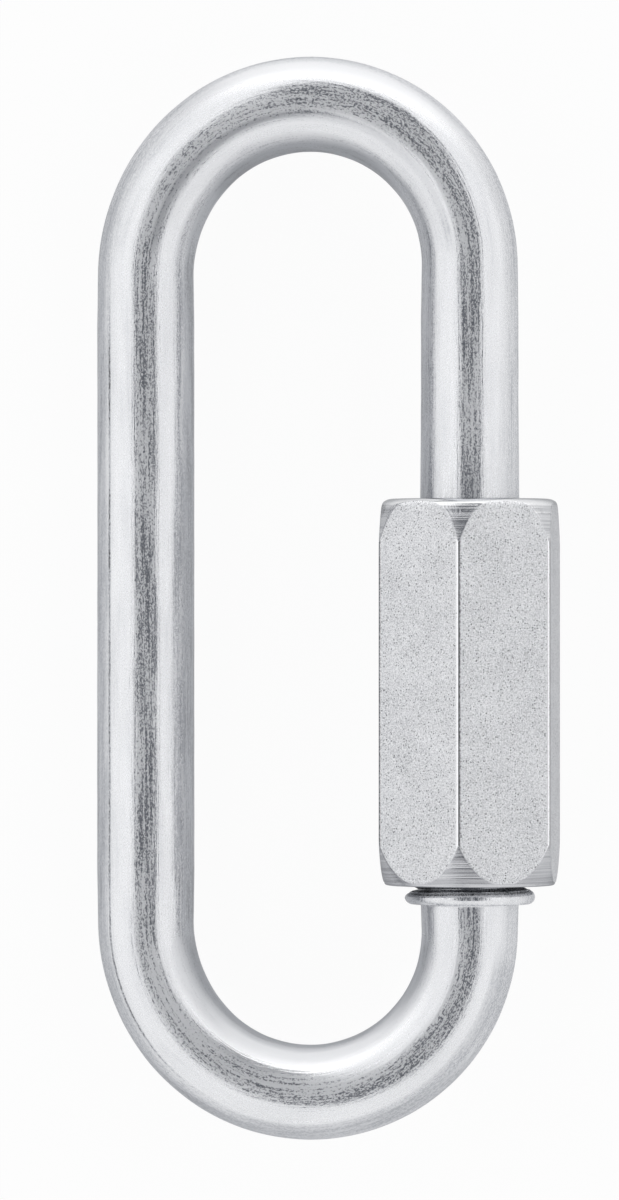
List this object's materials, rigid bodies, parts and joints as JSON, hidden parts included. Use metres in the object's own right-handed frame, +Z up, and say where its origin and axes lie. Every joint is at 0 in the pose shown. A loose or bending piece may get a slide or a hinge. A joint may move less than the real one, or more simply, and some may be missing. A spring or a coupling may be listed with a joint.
{
  "type": "quick link",
  "caption": "Long oval chain quick link: a bent steel rod whose gate is closed by a long hexagonal screw sleeve.",
  "frame": {"origin": "middle of the lying link's footprint, on the surface that it lies on", "axes": "+Y along the link towards the bow that the sleeve opens to, +X across it from the spine to the gate, +Z up"},
  "size_m": [0.038, 0.0886, 0.016],
  "materials": {
    "plated_rod": "bright zinc plate over drawn rod",
    "plated_sleeve": "zinc plate over a fine matte grain, turned ends"
  },
  "bodies": {
    "link": {"link_body": "plated_rod"},
    "sleeve": {"screw_sleeve": "plated_sleeve"}
  },
  "joints": [
    {"name": "sleeve_travel", "type": "slide", "parent": "link", "child": "sleeve", "axis": [0, 1, 0], "range_m": [0, 0.0195]}
  ]
}
